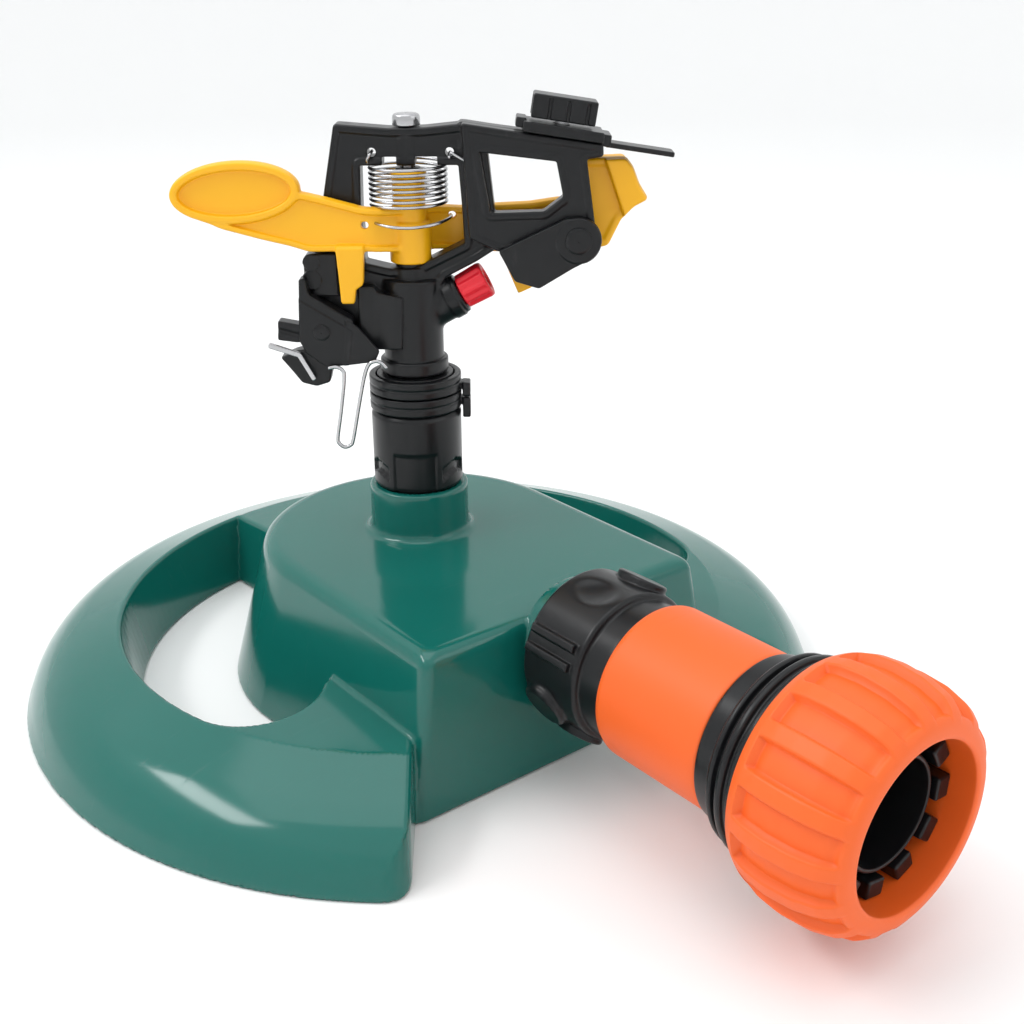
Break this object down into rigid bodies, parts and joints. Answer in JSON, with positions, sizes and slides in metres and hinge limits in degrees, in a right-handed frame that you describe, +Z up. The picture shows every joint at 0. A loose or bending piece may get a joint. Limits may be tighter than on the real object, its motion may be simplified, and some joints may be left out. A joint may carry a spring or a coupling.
{
  "type": "impact sprinkler",
  "caption": "Pulsating lawn sprinkler: sprung rocker arm and jet head on a swivel post, flat ring base with a raised housing, and a side hose inlet with a quick-release hose connector.",
  "frame": {"origin": "on the ground, below the centre of the object's footprint rectangle; the spindle is 25 mm behind it", "axes": "+Z up, the hose joins from -Y along the Y axis, +X to the right seen from the hose"},
  "size_m": [0.2, 0.25, 0.1431],
  "materials": {
    "green_plastic": "glossy moulded teal-green plastic",
    "black_plastic": "semi-gloss moulded black plastic",
    "yellow_plastic": "satin yellow plastic",
    "orange_plastic": "satin orange plastic",
    "red_plastic": "satin red plastic",
    "seal_rubber": "soft matt black rubber",
    "spring_steel": "bright drawn steel wire and pins"
  },
  "bodies": {
    "base": {"base_shell": "green_plastic", "water_elbow": "black_plastic", "riser_seal": "seal_rubber", "bearing_sleeve": "black_plastic", "bearing_washer": "seal_rubber"},
    "head": {"swivel_stem": "black_plastic", "swivel_washer": "seal_rubber", "bearing_spring": "spring_steel", "head_frame": "black_plastic", "jet_nozzle": "red_plastic", "jet_straightener": "black_plastic", "pivot_pin": "spring_steel", "pivot_washer": "black_plastic", "arm_washer": "black_plastic", "arm_spring": "spring_steel", "trip_pin": "spring_steel", "guard_pin": "black_plastic"},
    "rocker": {"rocker_arm": "yellow_plastic"},
    "lever": {"trip_lever": "black_plastic", "trip_spring_seat": "black_plastic", "trip_cam": "black_plastic", "trip_clip": "spring_steel"},
    "wire": {"trip_wire": "spring_steel"},
    "lower_collar": {"friction_collar_lower": "black_plastic"},
    "upper_collar": {"friction_collar_upper": "black_plastic"},
    "guard": {"jet_guard": "black_plastic"},
    "knob": {"range_knob": "black_plastic", "knob_screw": "spring_steel"},
    "flap": {"deflector_flap": "black_plastic"},
    "adaptor": {"tap_adaptor": "black_plastic", "inlet_washer": "seal_rubber", "nipple_o_ring": "seal_rubber"},
    "connector": {"connector_body": "black_plastic", "latch_ring": "black_plastic", "sleeve_spring": "spring_steel"},
    "sleeve": {"release_sleeve": "orange_plastic"},
    "nut": {"hose_nut": "orange_plastic", "grip_collet": "black_plastic"}
  },
  "joints": [
    {"name": "head_spin", "type": "hinge", "parent": "base", "child": "head", "pos_m": [0, 0.025, 0.06], "axis": [0, 0, 1], "continuous": true},
    {"name": "arm_swing", "type": "hinge", "parent": "head", "child": "rocker", "pos_m": [0, 0.025, 0.115], "axis": [0, 0, 1], "range_deg": [0, 95], "stiffness_Nm_per_rad": 0.006, "springref_deg": -17.19},
    {"name": "trip_flip", "type": "hinge", "parent": "head", "child": "lever", "pos_m": [-0.01987, 0.03309, 0.0894], "axis": [0.6211, 0.7837, 0], "range_deg": [-8, 0]},
    {"name": "wire_fold", "type": "hinge", "parent": "lever", "child": "wire", "pos_m": [-0.01689, 0.02575, 0.0816], "axis": [0.7837, -0.6211, 0], "range_deg": [-110, 0]},
    {"name": "lower_collar_turn", "type": "hinge", "parent": "base", "child": "lower_collar", "pos_m": [0, 0.025, 0.071], "axis": [0, 0, 1], "continuous": true},
    {"name": "upper_collar_turn", "type": "hinge", "parent": "base", "child": "upper_collar", "pos_m": [0, 0.025, 0.075], "axis": [0, 0, 1], "continuous": true},
    {"name": "guard_tilt", "type": "hinge", "parent": "head", "child": "guard", "pos_m": [0.02503, -0.00556, 0.1102], "axis": [0.6211, 0.7837, 0], "range_deg": [-25, 12]},
    {"name": "knob_turn", "type": "hinge", "parent": "head", "child": "knob", "pos_m": [0.02584, 0.00222, 0.1323], "axis": [0.1185, -0.094, 0.9885], "continuous": true},
    {"name": "flap_swing", "type": "hinge", "parent": "head", "child": "flap", "pos_m": [0.02584, 0.00222, 0.1323], "axis": [0.1185, -0.094, 0.9885], "range_deg": [-25, 25]},
    {"name": "adaptor_turn", "type": "hinge", "parent": "base", "child": "adaptor", "pos_m": [0, -0.045, 0.03], "axis": [0, -1, 0], "continuous": true},
    {"name": "connector_spin", "type": "hinge", "parent": "adaptor", "child": "connector", "pos_m": [0, -0.07, 0.03], "axis": [0, -1, 0], "continuous": true},
    {"name": "sleeve_release", "type": "slide", "parent": "connector", "child": "sleeve", "axis": [0, 1, 0], "range_m": [0, 0.004], "stiffness_N_per_m": 1500, "springref_m": -0.002},
    {"name": "nut_turn", "type": "hinge", "parent": "connector", "child": "nut", "pos_m": [0, -0.11, 0.03], "axis": [0, -1, 0], "continuous": true}
  ]
}
